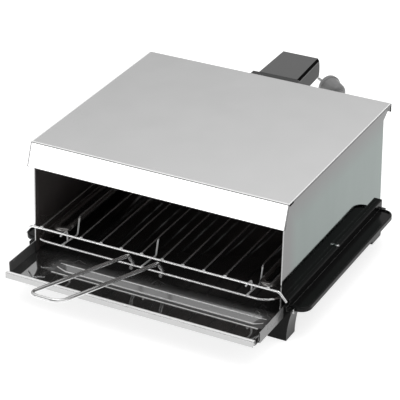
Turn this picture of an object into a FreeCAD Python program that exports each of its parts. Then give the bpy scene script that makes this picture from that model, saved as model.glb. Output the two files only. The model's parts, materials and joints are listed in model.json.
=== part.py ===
"""Electric party grill: a polished steel hood on two black side frames, with an element, a wire rack
that is pulled out by its handle, and a drip drawer under it.

Millimetres, +Z up, the table is Z = 0 and the open front faces -Y. Depths in this file are counted
from the front edge of the hood's top, and the function at() moves them to the part's own frame.
"""
import FreeCAD, Part
import math
import os

V = FreeCAD.Vector

# Hood, folded from thin sheet
sheet = 0.8
hood_width = 370.0
hood_depth = 315.0
hood_height = 192.0
bend_radius = 2.0
fascia_drop = 30.6
fascia_lean = 12.4
hem_width = 8.0
rear_flange_drop = 13.0
side_return = 2.6
top_overhang = 4.6
panel_knee_drop = 6.9
panel_rake = 4.1
panel_bottom = 35.0
panel_chamfer = (13.0, 8.0)
back_inset = 13.2
weld_flange = 10.0
fold_clearance = 0.3
over = 1.0

# Drip drawer, drawn partly out
drawer_width = 364.0
drawer_wall_height = 15.6
drawer_floor_top = 34.0
drawer_wall_front = 72.0
drawer_length = 304.0
lip_gap = 8.5
lip_width = 359.0
lip_height = 8.6
lip_depth = 3.4
lip_fall = 0.3
lip_splay = 0.9
lip_lift = 0.5
lip_bend = 1.5
basin_left = -135.0
basin_right = 166.0
basin_back = 20.5
basin_ramp = 10.0
basin_flat = 7.0
basin_rise = 6.5
basin_depth = 5.0
basin_end_slope = 13.0
basin_corner = 9.0
basin_floor_corner = 3.0
drawer_gap = 0.3
panel_clearance = 0.6

# Black side frames with ridge, flange and feet
ridge_top = 56.3
ridge_width = 6.2
ridge_front = 2.0
ridge_round = 1.5
frame_length = 292.0
slot_clearance = 0.5
shelf_width = 16.6
shelf_thickness = 4.0
flange_width = 22.9
flange_height = 6.6
flange_top = 46.6
flange_wall = 2.2
flange_front = 4.0
flange_back = 285.0
flange_corner = 15.0
flange_round = 1.5
dish_depth = 2.2
foot_width = 26.0
foot_front = -7.0
foot_depth = 25.0
rear_foot_depth = 29.0
foot_wall = 2.6
foot_inner_height = 22.0
foot_bulge = 6.0
foot_belly = 1.8
ridge_screw_depth = 150.6
ridge_screw_length = 5.0
column_screw_inset = 7.0
column_screw_rise = 1.6
column_screw_length = 9.0
screw_head_diameter = 6.0
screw_head_height = 1.6
screw_diameter = 3.0

# Wire rack
frame_wire = 3.2
rod_wire = 2.3
upper_wire_depth = -17.0
upper_wire_height = 76.5
upper_wire_half = 180.5
upper_wire_drop = 12.5
upper_wire_flare = 10.5
lower_wire_depth = -14.0
lower_wire_height = 56.0
lower_half = 176.0
lower_corner_left = 14.0
lower_corner_right = 29.0
rack_back = 273.0
wire_bend = 8.0
frame_bend = 8.0
rod_count = 12
rod_pitch = 30.0
rod_middle = 0.7
rod_front_end = 1.6
rod_back_end = 3.0
leg_shift = 0.2
leg_bend = 3.0
leg_top_bend = 5.0
leg_foot_depth = 22.0
leg_lean = 7.0
leg_foot_drop = 3.8
weld_gap = 0.25
hook_depth = -3.0
hook_front_end = 2.6
hook_bend = 3.2
middle_leg_x = -15.5
rail_width = 9.6
rail_gap = 0.3
rail_web = 7.0

# Rack handle
handle_wire = 5.0
handle_length = 245.0
handle_rise = 17.0
handle_width = 43.5
handle_offset = -10.2
handle_gap = 0.3
handle_corner = 15.0
handle_bend_depth = 2.2
handle_bend = 6.0
handle_hook_end = 1.5

# Heating element
element_diameter = 8.0
element_height = 65.5
element_half = 160.5
element_front = 8.0
element_back = 268.0
element_cross = 240.0
element_hairpin = 17.0
element_corner = 14.0
terminal_half = 22.0
element_tail = 12.7
bush_diameter = 14.0
bush_flange = 19.0
bush_flange_thickness = 3.0
bush_inside = 2.4
terminal_pin = 4.0
terminal_pin_length = 11.0

# Rear housing with the cord outlet
cover_left = -34.0
cover_right = 37.0
cover_depth = 38.0
cover_bottom = 44.0
housing_drop = 8.5
housing_wall = 2.5
cover_corner = 1.0
cover_clearance = 0.3
cover_boss = 9.0
head_left = -27.0
head_right = 35.2
head_taper = 4.5
head_reach = 420.0
head_height = 30.0
head_corner = 2.0
head_end_wall = 15.0
head_bow_low = 2.5
head_bow_top = 3.5
head_bow_height = 14.0
lid_height = 6.0
lid_bevel = (2.0, 4.5)
cover_screw_x = 24.0
cover_screw_height = 92.0
cover_screw_below_head = 15.5
outlet_height = 62.0
relief_length = 32.0
relief_diameter = 12.0
relief_tip = 9.4
relief_ribs = 5
relief_rib_start = 3.0
relief_rib_pitch = 5.4
relief_rib_width = 2.2
relief_rib_stand = 1.2

# Mains cord and plug
cord_diameter = 7.0
cord_lift = 0.1
coil_radius = 39.2
coil_pitch = 7.6
coil_centre = (-36.0, 562.0)
plug_centre = (-61.0, 656.8)
plug_heading = (-0.834, 0.552)
plug_face_diameter = 37.0
plug_face_thickness = 7.0
plug_face_round = 1.0
plug_grip_step = 3.0
plug_body_length = 34.0
plug_waist = 26.0
plug_body_round = 6.0
plug_pin_diameter = 4.8
plug_pin_length = 19.0
plug_pin_half = 9.5
plug_roll = 45.0
plug_pin_tip = 1.6
plug_relief_length = 20.0
plug_relief_diameter = 13.0
plug_relief_tip = 9.0

# Places that follow from the sizes above
rise = math.radians(handle_rise)
wire_to_handle = (frame_wire + handle_wire) / 2 + handle_gap
handle_under = (upper_wire_depth - wire_to_handle * math.sin(rise),
                upper_wire_height - wire_to_handle * math.cos(rise))
handle_end = (handle_under[0] - handle_length * math.cos(rise),
              handle_under[1] + handle_length * math.sin(rise))
front = (-(handle_end[0] - handle_wire / 2) - head_reach) / 2
panel_x = hood_width / 2 - top_overhang
back_y = hood_depth - back_inset
wall_x = drawer_width / 2
wall_top = drawer_floor_top + drawer_wall_height
floor_bottom = drawer_floor_top - sheet
slot_x = wall_x + slot_clearance
ridge_x = panel_x + ridge_width
shelf_top = floor_bottom - drawer_gap
rod_height = upper_wire_height + (frame_wire + rod_wire) / 2
cord_z = cord_diameter / 2 + cord_lift
cover_back = back_y + cover_depth
housing_top = hood_height - housing_drop
upright_start = lower_wire_height + (frame_wire + rod_wire) / 2 + weld_gap


def at(x, y, z):
    """A point given by its width, its depth behind the hood's front edge and its height."""
    return V(x, front + y, z)


def block(x0, x1, y0, y1, z0, z1):
    return Part.makeBox(x1 - x0, y1 - y0, z1 - z0, at(x0, y0, z0))


def cylinder(diameter, length, base, direction):
    return Part.makeCylinder(diameter / 2, length, base, direction)


def cone(diameter0, diameter1, length, base, direction):
    return Part.makeCone(diameter0 / 2, diameter1 / 2, length, base, direction)


def path(points, radius):
    """The edges of a route: straight runs joined by tangent arcs, with one radius or one for each corner."""
    radii = radius if isinstance(radius, (list, tuple)) else [radius] * (len(points) - 2)
    edges = []
    last = points[0]
    for corner, following, r in zip(points[1:-1], points[2:], radii):
        back = (last - corner).normalize()
        ahead = (following - corner).normalize()
        turn = math.pi - back.getAngle(ahead)
        trim = r * math.tan(turn / 2)
        middle = corner + (back + ahead).normalize() * (r / math.cos(turn / 2) - r)
        start = corner + back * trim
        end = corner + ahead * trim
        if (start - last).Length > 0.001:
            edges.append(Part.LineSegment(last, start).toShape())
        edges.append(Part.Arc(start, middle, end).toShape())
        last = end
    edges.append(Part.LineSegment(last, points[-1]).toShape())
    return edges


def tube(edges, diameter):
    """A round wire along a route."""
    spine = Part.Wire(edges)
    first = edges[0]
    start = first.valueAt(first.FirstParameter)
    heading = first.tangentAt(first.FirstParameter)
    ring = Part.Wire([Part.makeCircle(diameter / 2, start, heading)])
    return spine.makePipeShell([ring], True, False)


def bent_wire(points, diameter, radius):
    return tube(path(points, radius), diameter)


def plate(points, direction):
    """A flat outline pushed along a vector."""
    return Part.Face(Part.makePolygon(points + [points[0]])).extrude(direction)


def folded(points, radius, thickness, direction):
    """Sheet metal: an open outline with rounded bends, thickened to one side and pushed along a vector."""
    outline = Part.Wire(path(points, radius))
    return outline.makeOffset2D(thickness, 0, True, True).extrude(direction)


def rounded_block(x0, x1, y0, y1, z0, z1, radius):
    """A block with its four upright edges rounded."""
    solid = block(x0, x1, y0, y1, z0, z1)
    upright = [e for e in solid.Edges if abs(e.tangentAt(e.FirstParameter).z) > 0.9]
    return solid.makeFillet(radius, upright)


def mirrored(shape):
    return shape.mirror(V(0, 0, 0), V(1, 0, 0))


def save(name, *solids):
    """One STEP file for each named piece, or for each group of like pieces."""
    found = [s for shape in solids for s in shape.Solids]
    shape = found[0] if len(found) == 1 else Part.makeCompound(found)
    shape.exportStep("parts/" + name + ".step")
    faulty = [s for s in found if not s.isValid()]
    print(name, len(found), "solids", round(shape.Volume), "mm3", "NOT VALID" if faulty else "")


def hood_top():
    """The top, its leaning fascia and its rear flange, in one folded sheet."""
    half = hood_width / 2
    low = hood_height - fascia_drop
    profile = [at(-half, -fascia_lean, low), at(-half, 0, hood_height),
               at(-half, hood_depth, hood_height), at(-half, hood_depth, hood_height - rear_flange_drop)]
    skin = folded(profile, bend_radius, sheet, V(hood_width, 0, 0))
    along = math.hypot(fascia_lean, fascia_drop)
    up = V(0, fascia_lean / along, fascia_drop / along)
    inward = V(0, fascia_drop / along, -fascia_lean / along)
    foot = profile[0] + inward * sheet
    hem = plate([foot, foot + up * hem_width, foot + up * hem_width + inward * sheet,
                 foot + inward * sheet], V(hood_width, 0, 0))
    returns = [block(x, x + sheet, bend_radius, hood_depth - bend_radius,
                     hood_height - sheet - side_return, hood_height - sheet)
               for x in (-half, half - sheet)]
    return skin.multiFuse([hem] + returns).removeSplitter()


def hood_side():
    """The right side panel: a flat sheet with a raked, folded front edge and a flange under the top."""
    slant = fascia_lean / fascia_drop
    rake = math.tan(math.radians(panel_rake))
    under = hood_height - sheet
    inner_front = sheet * math.hypot(1, slant) + fold_clearance
    knee = hood_height - panel_knee_drop
    knee_y = inner_front - slant * panel_knee_drop
    low_y = knee_y - rake * (knee - panel_bottom)
    rear = hood_depth - sheet - fold_clearance
    chamfer_y, chamfer_z = panel_chamfer
    low_corner = hood_height - rear_flange_drop
    back = rear - chamfer_y
    outline = [at(panel_x, inner_front + bend_radius * (1 - slant), under),
               at(panel_x, rear - bend_radius, under), at(panel_x, rear, under - bend_radius),
               at(panel_x, rear, low_corner), at(panel_x, back, low_corner - chamfer_z),
               at(panel_x, back, panel_bottom), at(panel_x, low_y, panel_bottom),
               at(panel_x, knee_y, knee),
               at(panel_x, inner_front - bend_radius * slant, hood_height - bend_radius)]
    skin = plate(outline, V(-sheet, 0, 0))
    inside = panel_x - sheet
    hem = plate([at(inside, low_y, panel_bottom), at(inside, low_y + hem_width, panel_bottom),
                 at(inside, knee_y + hem_width, knee), at(inside, knee_y, knee)], V(-sheet, 0, 0))
    flange = block(panel_x - weld_flange, inside, 2 * weld_flange, back_y - 2 * weld_flange,
                   under - sheet, under)
    return skin.multiFuse([hem, flange]).removeSplitter()


def hood_back():
    """The back panel, with its side flanges and the two holes for the element."""
    half = panel_x - sheet
    skin = block(-half, half, back_y - sheet, back_y, panel_bottom, hood_height - sheet)
    flanges = [block(x, x + sheet, back_y - sheet - weld_flange, back_y - sheet,
                     panel_bottom, hood_height - 3 * sheet) for x in (-half, half - sheet)]
    body = skin.multiFuse(flanges)
    for x in (-terminal_half, terminal_half):
        hole = cylinder(bush_diameter, 4 * sheet, at(x, back_y - 2 * sheet, element_height), V(0, 1, 0))
        body = body.cut(hole)
    return body.removeSplitter()


def foot(y0, depth):
    """A hollow foot with a bulging outer wall, open below."""
    outer = slot_x + shelf_thickness
    inner = outer - foot_width
    top = flange_top - flange_height
    low = [at(inner, y0, 0), at(outer, y0, 0)]
    bulge = Part.Arc(low[1], at(outer + foot_belly, y0, top / 2), at(outer + foot_bulge, y0, top)).toShape()
    rest = [at(outer + foot_bulge, y0, top), at(outer + foot_bulge, y0, flange_top - flange_wall),
            at(slot_x, y0, flange_top - flange_wall), at(slot_x, y0, shelf_top),
            at(slot_x + shelf_thickness - shelf_width, y0, shelf_top),
            at(slot_x + shelf_thickness - shelf_width, y0, foot_inner_height),
            at(inner, y0, foot_inner_height), low[0]]
    edges = [Part.LineSegment(*low).toShape(), bulge]
    edges += [Part.LineSegment(a, b).toShape() for a, b in zip(rest, rest[1:])]
    body = Part.Face(Part.Wire(edges)).extrude(V(0, depth, 0))
    pocket = block(inner + foot_wall, outer - foot_wall, y0 + foot_wall, y0 + depth - foot_wall,
                   0, foot_inner_height - foot_wall)
    return body.cut(pocket)


def flange():
    """The dished ledge along the side, with its rim turned down."""
    x0, x1 = slot_x, ridge_x + flange_width
    low = flange_top - flange_height
    body = rounded_block(x0 - 2 * flange_corner, x1, flange_front, flange_back,
                         low, flange_top, flange_corner)
    body = body.common(block(x0, x1 + over, flange_front - over, flange_back + over,
                             low - over, flange_top + over))
    rim = [e for e in body.Edges if abs(e.BoundBox.ZMin - flange_top) < 0.01 and
           abs(e.BoundBox.ZMax - flange_top) < 0.01 and e.BoundBox.XMax > x0 + 0.1]
    body = body.makeFillet(flange_round, rim)
    inner = flange_corner - flange_wall
    dish = rounded_block(ridge_x - 2 * inner, x1 - flange_wall, flange_front + flange_wall,
                         flange_back - flange_wall, flange_top - dish_depth, flange_top + over, inner)
    below = rounded_block(ridge_x - 2 * inner, x1 - flange_wall, flange_front + flange_wall,
                          flange_back - flange_wall, low - over, flange_top - dish_depth - flange_wall, inner)
    keep = block(ridge_x, x1 + over, flange_front - over, flange_back + over,
                 low - 2 * over, flange_top + 2 * over)
    return body.cut(dish.common(keep)).cut(below.common(keep))


def side_frame():
    """The right side frame: ridge, slot and shelf for the drawer, flange and two feet in one moulding."""
    shelf_x = slot_x + shelf_thickness - shelf_width
    slot_top = wall_top + slot_clearance
    section = [at(panel_x, foot_front, ridge_top), at(ridge_x, foot_front, ridge_top),
               at(ridge_x, foot_front, shelf_top - shelf_thickness),
               at(shelf_x, foot_front, shelf_top - shelf_thickness), at(shelf_x, foot_front, shelf_top),
               at(slot_x, foot_front, shelf_top), at(slot_x, foot_front, slot_top),
               at(panel_x, foot_front, slot_top)]
    rail = plate(section, V(0, frame_length - foot_front, 0))
    ends = [e for e in rail.Edges if abs(e.BoundBox.ZMin - ridge_top) < 0.01 and
            abs(e.BoundBox.XMin - ridge_x) < 0.01]
    rail = rail.makeFillet(ridge_round, ends)
    step = block(panel_x - over, ridge_x + over, foot_front - over, ridge_front,
                 slot_top, ridge_top + over)
    body = rail.cut(step).multiFuse([flange(), foot(foot_front, foot_depth),
                                     foot(frame_length - rear_foot_depth, rear_foot_depth)])
    for x, y, z, direction, length in screw_places():
        body = body.cut(cylinder(screw_diameter, length, at(x, y, z), direction))
    return body.removeSplitter()


def screw_places():
    """Where the right frame's two screws seat, which way they go in and how far."""
    across = (panel_x + ridge_x) / 2
    outer = slot_x + shelf_thickness + foot_bulge
    height = flange_top - flange_height + column_screw_rise
    return [(across, ridge_screw_depth, ridge_top, V(0, 0, -1), ridge_screw_length),
            (outer, foot_front + column_screw_inset, height, V(-1, 0, 0), column_screw_length)]


def screw(x, y, z, direction, length):
    """A domed head on its shank."""
    base = at(x, y, z)
    head = cone(screw_head_diameter, screw_head_diameter * 0.6, screw_head_height, base, direction * -1)
    return head.fuse(cylinder(screw_diameter, length, base, direction)).removeSplitter()


def drawer_tray():
    """Floor, side and back walls, the pressed basin near the front and the folded lip, in one sheet."""
    half = wall_x
    y0, y1 = -drawer_wall_front, -drawer_wall_front + drawer_length
    lip_y = y0 - lip_gap
    floor = block(-lip_width / 2, lip_width / 2, lip_y, y0, floor_bottom, drawer_floor_top)
    floor = floor.fuse(block(-half, half, y0, y1, floor_bottom, drawer_floor_top))
    walls = [block(x, x + sheet, y0, y1, floor_bottom, wall_top) for x in (-half, half - sheet)]
    inner = panel_x - sheet - panel_clearance
    walls.append(block(-inner, inner, y1 - sheet, y1, floor_bottom, wall_top))
    top = drawer_floor_top - sheet + lip_height
    fold = [at(-lip_width / 2, lip_y, floor_bottom), at(-lip_width / 2, lip_y, top),
            at(-lip_width / 2, lip_y - lip_depth, top - lip_fall),
            at(-lip_width / 2, lip_y - lip_depth - lip_splay, floor_bottom + lip_lift)]
    lip = folded(fold, lip_bend, sheet, V(lip_width, 0, 0))
    body = floor.multiFuse(walls + [lip])
    pressed = basin()
    return body.fuse(pressed).cut(pressed.translated(V(0, 0, sheet))).removeSplitter()


def basin():
    """The basin's outside as a closed form, from the floor's underside down."""
    back = -basin_back
    low_back = back - basin_ramp
    low_front = low_back - basin_flat
    upper = outline(basin_left, basin_right, low_front - basin_rise, back, floor_bottom, basin_corner)
    lower = outline(basin_left + basin_end_slope, basin_right - basin_end_slope, low_front, low_back,
                    floor_bottom - basin_depth, basin_floor_corner)
    return Part.makeLoft([lower, upper], True, True)


def outline(x0, x1, y0, y1, z, corner):
    """A level rectangle with rounded corners, as a wire that starts in the middle of its front."""
    start = at((x0 + x1) / 2, y0, z)
    corners = [at(x1, y0, z), at(x1, y1, z), at(x0, y1, z), at(x0, y0, z)]
    return Part.Wire(path([start] + corners + [start], corner))


def rod_x(index):
    return rod_middle + (index - (rod_count - 1) / 2) * rod_pitch


def leg_places():
    """The second rod from each side, moved a little outward."""
    return rod_x(1) - leg_shift, rod_x(rod_count - 2) + leg_shift


def rack_front_wire():
    x, y, z = upper_wire_half, upper_wire_depth, upper_wire_height
    ends = [(x + upper_wire_flare, z - upper_wire_drop), (x, z)]
    route = [at(-a, y, b) for a, b in ends] + [at(a, y, b) for a, b in reversed(ends)]
    return bent_wire(route, frame_wire, wire_bend)


def rack_lower_frame():
    """The lower wire: it runs back along both sides and up to the rear wire."""
    x, y, z = lower_half, lower_wire_depth, lower_wire_height
    top = upper_wire_height - frame_wire / 2
    right = [at(x, y, z), at(x, rack_back, z), at(x, rack_back, top)]
    left = [at(-p.x, p.y - front, p.z) for p in reversed(right)]
    radii = [frame_bend, lower_corner_left, lower_corner_right, frame_bend]
    return bent_wire(left + right, frame_wire, radii)


def rack_rear_wire():
    return cylinder(frame_wire, 2 * lower_half + frame_wire,
                    at(-lower_half - frame_wire / 2, rack_back, upper_wire_height), V(1, 0, 0))


def rack_rods():
    """The straight rods, which lie on the front and rear wires."""
    start = upper_wire_depth - rod_front_end
    return [cylinder(rod_wire, rack_back + rod_back_end - start, at(rod_x(i), start, rod_height), V(0, 1, 0))
            for i in range(rod_count) if i not in (1, rod_count - 2)]


def leg_route(x, top):
    """From the lower wire back to the leg's foot, up and back along the rack."""
    return [at(x, lower_wire_depth - rod_front_end, upright_start),
            at(x, leg_foot_depth, upright_start - leg_foot_drop),
            at(x, leg_foot_depth + leg_lean, top)]


def rack_leg_rods():
    """The second rod from each side is bent down in front into a leg."""
    legs = []
    for x in leg_places():
        route = leg_route(x, rod_height) + [at(x, rack_back + rod_back_end, rod_height)]
        legs.append(bent_wire(route, rod_wire, [leg_bend, leg_top_bend]))
    return legs


def rack_middle_leg():
    return bent_wire(leg_route(middle_leg_x, rod_height - rod_wire), rod_wire, leg_bend)


def rack_hooks():
    """Short bent wires that tie the front wire to the two legs' feet."""
    top = upper_wire_height - (frame_wire + rod_wire) / 2
    behind = lower_wire_depth - rod_front_end
    fallen = leg_foot_drop * (hook_depth - behind) / (leg_foot_depth - behind)
    low = upright_start - fallen + rod_wire / 2 + weld_gap
    return [bent_wire([at(x, upper_wire_depth - hook_front_end, top), at(x, hook_depth, top),
                       at(x, hook_depth, low)], rod_wire, hook_bend) for x in leg_places()]


def rack_handle():
    """A long wire loop: it runs under the front wire and hooks round the lower one from behind."""
    bend_y = handle_under[0] - handle_bend_depth
    bend_z = handle_under[1] + handle_bend_depth * math.tan(rise)
    dy, dz = lower_wire_depth - bend_y, lower_wire_height - bend_z
    heading = math.atan2(dz, dy) + math.asin(wire_to_handle / math.hypot(dy, dz))
    low = lower_wire_height - wire_to_handle
    knee_y = bend_y + (low - bend_z) / math.tan(heading)
    side = [(lower_wire_depth - handle_hook_end, low), (knee_y, low), (bend_y, bend_z), handle_end]
    left = handle_offset - handle_width / 2
    right = handle_offset + handle_width / 2
    route = [at(left, y, z) for y, z in side] + [at(right, y, z) for y, z in reversed(side)]
    radii = [wire_to_handle, handle_bend, handle_corner]
    return bent_wire(route, handle_wire, radii + radii[::-1])


def rack_rail():
    """The right angle strip inside the panel, which carries the rack's side."""
    inner = panel_x - sheet
    top = lower_wire_height - frame_wire / 2 - rail_gap
    foot_strip = block(inner - rail_width, inner, weld_flange, back_y - 2 * weld_flange, top - sheet, top)
    web = block(inner - sheet, inner, weld_flange, back_y - 2 * weld_flange, top - sheet, top + rail_web)
    return foot_strip.fuse(web).removeSplitter()


def heating_element():
    """A tube bent like an M: a hairpin along each side, and both ends out through the back panel."""
    z = element_height
    inner = element_half - element_hairpin
    right = [at(inner, element_cross, z), at(inner, element_front, z), at(element_half, element_front, z),
             at(element_half, element_back, z), at(terminal_half, element_back, z),
             at(terminal_half, back_y + element_tail, z)]
    left = [at(-p.x, p.y - front, p.z) for p in reversed(right)]
    turn = 0.49 * element_hairpin
    radii = [element_corner, turn, turn, element_corner, element_corner]
    return bent_wire(left + right, element_diameter, radii[::-1] + radii)


def element_bushes():
    """Ceramic bushes round the element's ends, one in each hole of the back panel."""
    bushes = []
    for x in (-terminal_half, terminal_half):
        body = cylinder(bush_diameter, bush_inside, at(x, back_y - bush_inside, element_height), V(0, 1, 0))
        head = cylinder(bush_flange, bush_flange_thickness, at(x, back_y, element_height), V(0, 1, 0))
        bore = cylinder(element_diameter, 2 * bush_diameter,
                        at(x, back_y - bush_diameter, element_height), V(0, 1, 0))
        bushes.append(body.fuse(head).cut(bore).removeSplitter())
    return bushes


def element_pins():
    end = back_y + element_tail
    return [cylinder(terminal_pin, terminal_pin_length, at(x, end, element_height), V(0, 1, 0))
            for x in (-terminal_half, terminal_half)]


def terminal_cover():
    """The upright box behind the hood over the element's ends, with a step under the hood's flange."""
    step = hood_height - rear_flange_drop
    outer = block(cover_left, cover_right, back_y, cover_back, cover_bottom, housing_top)
    edges = [e for e in outer.Edges if e.BoundBox.YMin > front + cover_back - 0.01]
    outer = outer.makeFillet(cover_corner, edges)
    hollow = block(cover_left + housing_wall, cover_right - housing_wall, back_y - over,
                   cover_back - housing_wall, cover_bottom + housing_wall, step - housing_wall)
    body = outer.cut(hollow).cut(block(cover_left, cover_right, back_y, hood_depth + cover_clearance,
                                       step - cover_clearance, housing_top + over))
    for x, z in cover_screw_places():
        body = body.fuse(cylinder(cover_boss, cover_depth - housing_wall, at(x, back_y, z), V(0, 1, 0)))
        body = body.cut(cylinder(screw_diameter, cover_depth + over, at(x, back_y, z), V(0, 1, 0)))
    outlet = cylinder(cord_diameter, cover_depth, at(0, back_y + cover_depth / 2, outlet_height), V(0, 1, 0))
    return body.cut(outlet).removeSplitter()


def cover_screw_places():
    upper = housing_top - head_height - cover_screw_below_head
    return [(x, z) for x in (-cover_screw_x, cover_screw_x) for z in (cover_screw_height, upper)]


def cover_screws():
    return [screw(x, cover_back, z, V(0, -1, 0), cover_depth) for x, z in cover_screw_places()]


def head_form():
    """The head as a closed form: its side view with a bowed rear end, tapered on the right."""
    x, low = head_left, housing_top - head_height
    bow = Part.Arc(at(x, head_reach - head_bow_low, low), at(x, head_reach, low + head_bow_height),
                   at(x, head_reach - head_bow_top, housing_top)).toShape()
    corners = [at(x, head_reach - head_bow_top, housing_top), at(x, cover_back, housing_top),
               at(x, cover_back, low), at(x, head_reach - head_bow_low, low)]
    edges = [bow] + [Part.LineSegment(a, b).toShape() for a, b in zip(corners, corners[1:])]
    body = Part.Face(Part.Wire(edges)).extrude(V(head_right - x, 0, 0))
    plan = [at(x, cover_back, low), at(head_right, cover_back, low),
            at(head_right - head_taper, head_reach, low), at(x, head_reach, low)]
    return body.common(plate(plan, V(0, 0, head_height)))


def head_slice(z0, z1):
    """The head between two heights."""
    return head_form().common(block(head_left, head_right, cover_back, head_reach, z0, z1))


def long_edges(body, height):
    """The edges that run from front to back at one height."""
    level = [e for e in body.Edges
             if abs(e.BoundBox.ZMin - height) < 0.01 and abs(e.BoundBox.ZMax - height) < 0.01]
    return [e for e in level if e.BoundBox.YMax - e.BoundBox.YMin > head_end_wall]


def housing_shell():
    """The lower shell of the head that stands out behind, with a curved rear end."""
    low, parting = housing_top - head_height, housing_top - lid_height
    body = head_slice(low, parting)
    body = body.makeFillet(head_corner, long_edges(body, low))
    hollow = block(head_left + housing_wall, head_right - head_taper - housing_wall,
                   cover_back + housing_wall, head_reach - head_end_wall, low + housing_wall, parting + over)
    return body.cut(hollow).removeSplitter()


def housing_lid():
    """The upper shell of the head, its long edges cut at a steep slant."""
    body = head_slice(housing_top - lid_height, housing_top)
    for x, side, taper in ((head_left, -1, 0), (head_right, 1, -head_taper)):
        body = body.cut(lid_edge(x, side).extrude(V(taper, head_reach - cover_back, 0)))
    return body.removeSplitter()


def lid_edge(x, side):
    """The triangle above the slant of the lid's edge, a little larger than the corner it cuts."""
    across, down = lid_bevel
    inner = at(x - side * 2 * across, cover_back, housing_top + down)
    outer = at(x + side * across, cover_back, housing_top - 2 * down)
    corner = at(x + side * across, cover_back, housing_top + down)
    return Part.Face(Part.makePolygon([inner, outer, corner, inner]))


def strain_relief():
    """A ribbed, tapering sleeve, moulded round the cord's first stretch, straight back out of the cover."""
    aim = V(0, 1, 0)
    body = cone(relief_diameter, relief_tip, relief_length, at(0, cover_back, outlet_height), aim)
    for i in range(relief_ribs):
        along = relief_rib_start + relief_rib_pitch * i
        diameter = relief_diameter - (relief_diameter - relief_tip) * along / relief_length + relief_rib_stand
        body = body.fuse(cylinder(diameter, relief_rib_width, at(0, cover_back + along, outlet_height), aim))
    return body.removeSplitter()


def cord_path(points):
    """A cord's route, each arc as large as its two runs allow, with its least radius."""
    radii = []
    for a, b, c in zip(points, points[1:], points[2:]):
        turn = (b - a).getAngle(c - b)
        radii.append(0.45 * min((b - a).Length, (c - b).Length) / math.tan(turn / 2))
    edges = path(points, radii)
    print("cord radii", [round(r) for r in radii], "length", round(sum(e.Length for e in edges)))
    return edges


def coil_ends():
    """Where the coil starts on the table and where it ends on top."""
    x, y = coil_centre
    return (at(x + coil_radius + coil_pitch / 2, y, cord_z),
            at(x + coil_radius + 1.5 * coil_pitch, y, cord_z + coil_pitch))


def cord_lead_points():
    """Out of the strain relief, down to the table and back to the coil."""
    y = cover_back
    end = coil_ends()[0]
    return [at(0, y + relief_length, outlet_height), at(0, y + 51, outlet_height), at(-0.8, y + 77, 55.0),
            at(0.4, y + 104, 37.5), at(2.2, y + 127, 19.5), at(4.6, y + 151, 7.4),
            at(end.x, y + 174, cord_z), at(end.x, end.y - front, cord_z)]


def cord_tail_points():
    """From the top of the coil down to the table and round to the plug."""
    start = coil_ends()[1]
    y = start.y - front
    behind = -plug_body_length - plug_relief_length
    return [start, at(start.x, y + 28.0, start.z), plug_point(behind - 20.0), plug_point(behind)]


def coil_edges():
    """Six half turns: in on the table, up a layer in the third and out again on top."""
    x, y = coil_centre
    radii = [coil_radius + coil_pitch / 2 * k for k in (1, 0, -1, 0, 1, 2)]
    climb = 2
    edges = []
    side, place = 1, coil_radius + coil_pitch / 2
    z = cord_z
    for number, radius in enumerate(radii):
        centre = place - side * radius
        following = centre - side * radius
        start, end = at(x + place, y, z), at(x + following, y, z)
        if number == climb:
            end = at(x + following, y, z + coil_pitch)
            middle = at(x + centre, y + side * radius, z + coil_pitch / 2)
            heading = V(0, side, 0)
            rising = V(-side * math.pi * radius / coil_pitch, 0, 1).normalize()
            edges += biarc(start, heading, middle, rising)
            edges += biarc(middle, rising, end, heading * -1)
            z += coil_pitch
        else:
            edges.append(Part.Arc(start, at(x + centre, y + side * radius, z), end).toShape())
        place, side = following, -side
    return edges


def biarc(start, heading0, end, heading1):
    """Two tangent arcs from one point and heading to another."""
    chord = end - start
    t = heading0 + heading1
    a = 2 * (1 - heading0.dot(heading1))
    b = 2 * chord.dot(t)
    c = -chord.dot(chord)
    d = (-b + math.sqrt(b * b - 4 * a * c)) / (2 * a)
    joint = (start + heading0 * d + end - heading1 * d) * 0.5
    arcs = []
    for p, heading, q in ((start, heading0, joint), (end, heading1 * -1, joint)):
        corner = p + heading * d
        pull = ((p - corner).normalize() + (q - corner).normalize()).normalize()
        half_turn = (p - corner).getAngle(q - corner) / 2
        radius = d * math.tan(half_turn)
        middle = corner + pull * (radius / math.sin(half_turn) - radius)
        arcs.append(Part.Arc(p, middle, q).toShape() if p is start else Part.Arc(q, middle, p).toShape())
    return arcs


def least_gap(edges, diameter, step=4.0):
    """The least distance between two stretches of a tube that aren't neighbours, less its diameter."""
    points = []
    for edge in edges:
        points += edge.discretize(max(3, int(edge.Length / step)))[:-1]
    apart = int(3 * diameter / step) + 2
    return min((p - q).Length for i, p in enumerate(points) for q in points[i + apart:]) - diameter


def plug_point(along, across=0.0, up=0.0):
    """A point on the plug, counted from the middle of its front face."""
    length = math.hypot(*plug_heading)
    ux, uy = plug_heading[0] / length, plug_heading[1] / length
    x = plug_centre[0] + ux * along - uy * across
    y = plug_centre[1] + uy * along + ux * across
    return at(x, y, plug_face_diameter / 2 + up)


def plug_body():
    """A round face, a bell-shaped grip and a sleeve for the cord."""
    aim = V(plug_heading[0], plug_heading[1], 0)
    face = cylinder(plug_face_diameter, plug_face_thickness, plug_point(-plug_face_thickness), aim)
    rims = [e for e in face.Edges if e.Length > plug_face_diameter]
    face = face.makeFillet(plug_face_round, rims)
    grip = cone(plug_waist, plug_face_diameter - plug_grip_step, plug_body_length - plug_face_thickness,
                plug_point(-plug_body_length), aim)
    end = [e for e in grip.Edges if (e.CenterOfMass - plug_point(-plug_body_length)).Length < 0.01]
    grip = grip.makeFillet(plug_body_round, end)
    sleeve = cone(plug_relief_tip, plug_relief_diameter, plug_relief_length,
                  plug_point(-plug_body_length - plug_relief_length), aim)
    return face.multiFuse([grip, sleeve]).removeSplitter()


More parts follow.
